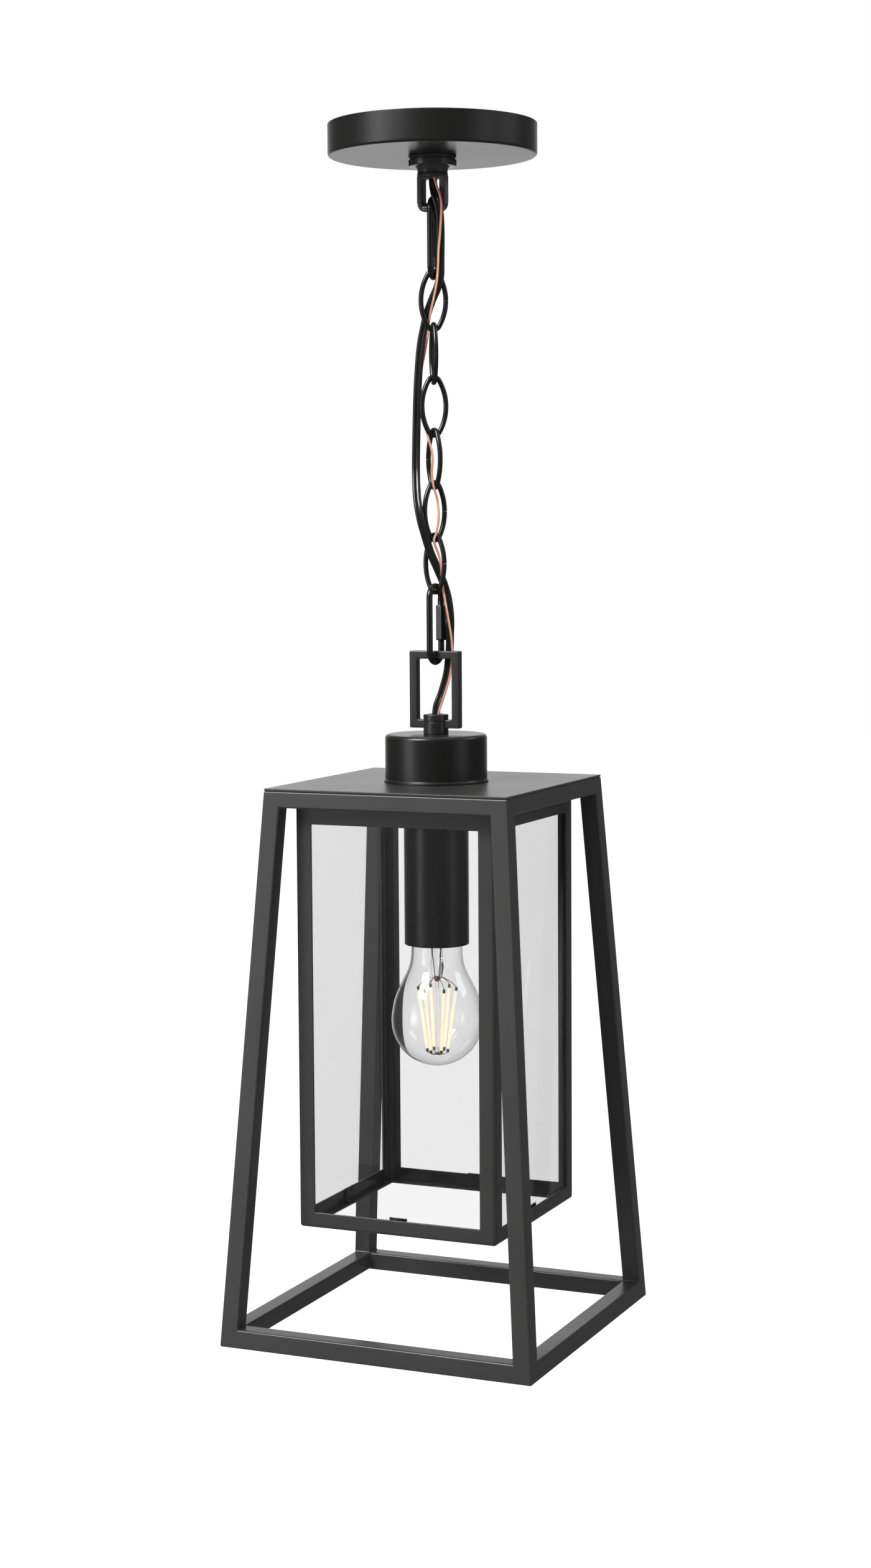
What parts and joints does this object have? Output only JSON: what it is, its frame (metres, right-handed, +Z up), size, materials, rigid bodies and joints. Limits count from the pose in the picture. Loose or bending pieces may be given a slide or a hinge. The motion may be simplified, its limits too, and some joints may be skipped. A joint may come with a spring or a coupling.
{
  "type": "hanging lantern pendant",
  "caption": "Square hanging lantern on a link chain: tapered tube frame, glazed inner cage, round ceiling canopy, screw-in filament bulb and supply cord.",
  "frame": {"origin": "ceiling plane at the centre of the canopy", "axes": "+Z up out of the ceiling face, +X along the lantern's front, the front faces -Y"},
  "size_m": [0.214, 0.214, 0.7766],
  "materials": {
    "black_powder_coat": "satin black powder coat",
    "zinc_steel": "zinc plated",
    "green_screw": "green dyed screw",
    "black_flex": "satin PVC",
    "bare_copper": "bare stranded copper",
    "clear_glass": "clear polished",
    "porcelain": "glazed porcelain",
    "brass": "bright",
    "nickel": "nickel plated",
    "black_insulator": "black glass",
    "bulb_glass": "clear",
    "lit_filament": "glowing light sticks"
  },
  "bodies": {
    "ceiling_set": {"canopy": "black_powder_coat", "crossbar": "zinc_steel", "ground_screw": "green_screw", "canopy_nipple": "zinc_steel", "nipple_nut": "zinc_steel", "canopy_loop": "black_powder_coat", "supply_cord": "black_flex", "ground_wire": "bare_copper"},
    "collar_ring": {"collar_ring": "black_powder_coat"},
    "top_link": {"top_link": "black_powder_coat"},
    "top_link_sleeve": {"top_link_sleeve": "black_powder_coat"},
    "link_1": {"chain_link_1": "black_powder_coat"},
    "link_2": {"chain_link_2": "black_powder_coat"},
    "link_3": {"chain_link_3": "black_powder_coat"},
    "link_4": {"chain_link_4": "black_powder_coat"},
    "link_5": {"chain_link_5": "black_powder_coat"},
    "link_6": {"chain_link_6": "black_powder_coat"},
    "bottom_link": {"bottom_link": "black_powder_coat"},
    "bottom_link_sleeve": {"bottom_link_sleeve": "black_powder_coat"},
    "lantern": {"bail_loop": "black_powder_coat", "stem_tube": "zinc_steel", "cup": "black_powder_coat", "stem_nut": "zinc_steel", "roof_plate": "black_powder_coat", "top_rail_front": "black_powder_coat", "top_rail_right": "black_powder_coat", "top_rail_back": "black_powder_coat", "top_rail_left": "black_powder_coat", "leg_front_right": "black_powder_coat", "leg_back_right": "black_powder_coat", "leg_back_left": "black_powder_coat", "leg_front_left": "black_powder_coat", "bottom_rail_front": "black_powder_coat", "bottom_rail_right": "black_powder_coat", "bottom_rail_back": "black_powder_coat", "bottom_rail_left": "black_powder_coat", "cage_pan": "black_powder_coat", "cage_post_front_right": "black_powder_coat", "cage_post_back_right": "black_powder_coat", "cage_post_back_left": "black_powder_coat", "cage_post_front_left": "black_powder_coat", "cage_rail_front": "black_powder_coat", "cage_rail_right": "black_powder_coat", "cage_rail_back": "black_powder_coat", "cage_rail_left": "black_powder_coat", "glass_front": "clear_glass", "glass_right": "clear_glass", "glass_back": "clear_glass", "glass_left": "clear_glass", "glass_tabs": "black_powder_coat", "socket_sleeve": "black_powder_coat", "socket_body": "porcelain", "socket_shell": "brass", "socket_contact": "brass"},
    "bulb": {"bulb_base": "nickel", "bulb_insulator": "black_insulator", "bulb_glass": "bulb_glass", "bulb_stem": "bulb_glass", "bulb_filaments": "lit_filament"}
  },
  "joints": [
    {"name": "top_link_swing", "type": "hinge", "parent": "ceiling_set", "child": "top_link", "pos_m": [0, 0, -0.0526], "axis": [1, 0, 0], "range_deg": [-20, 20], "deforming": ["supply_cord", "ground_wire"]},
    {"name": "link_1_swing", "type": "hinge", "parent": "top_link", "child": "link_1", "pos_m": [0, 0, -0.0957], "axis": [-0.1736, 0.9848, 0], "range_deg": [-20, 20]},
    {"name": "link_2_swing", "type": "hinge", "parent": "link_1", "child": "link_2", "pos_m": [0, 0, -0.1287], "axis": [0.9135, 0.4067, 0], "range_deg": [-20, 20]},
    {"name": "link_3_swing", "type": "hinge", "parent": "link_2", "child": "link_3", "pos_m": [0, 0, -0.1621], "axis": [-0.5592, 0.829, 0], "range_deg": [-20, 20]},
    {"name": "link_4_swing", "type": "hinge", "parent": "link_3", "child": "link_4", "pos_m": [0, 0, -0.1955], "axis": [0.788, 0.6157, 0], "range_deg": [-20, 20]},
    {"name": "link_5_swing", "type": "hinge", "parent": "link_4", "child": "link_5", "pos_m": [0, 0, -0.2289], "axis": [-0.788, 0.6157, 0], "range_deg": [-20, 20]},
    {"name": "link_6_swing", "type": "hinge", "parent": "link_5", "child": "link_6", "pos_m": [0, 0, -0.2623], "axis": [0.5, 0.866, 0], "range_deg": [-20, 20]},
    {"name": "bottom_link_swing", "type": "hinge", "parent": "link_6", "child": "bottom_link", "pos_m": [0, 0, -0.2957], "axis": [-0.9511, 0.309, 0], "range_deg": [-20, 20]},
    {"name": "lantern_swing", "type": "hinge", "parent": "bottom_link", "child": "lantern", "pos_m": [0, 0, -0.3407], "axis": [0.1045, 0.9945, 0], "range_deg": [-15, 15]},
    {"name": "collar_ring_slide", "type": "slide", "parent": "ceiling_set", "child": "collar_ring", "axis": [0, 0, -1], "range_m": [0, 0.006]},
    {"name": "top_sleeve_slide", "type": "slide", "parent": "top_link", "child": "top_link_sleeve", "axis": [0, 0, -1], "range_m": [0, 0.007]},
    {"name": "bottom_sleeve_slide", "type": "slide", "parent": "bottom_link", "child": "bottom_link_sleeve", "axis": [0, 0, -1], "range_m": [0, 0.007]},
    {"name": "bulb_slide", "type": "slide", "parent": "lantern", "child": "bulb", "axis": [0, 0, -1], "range_m": [0, 0.06]}
  ]
}
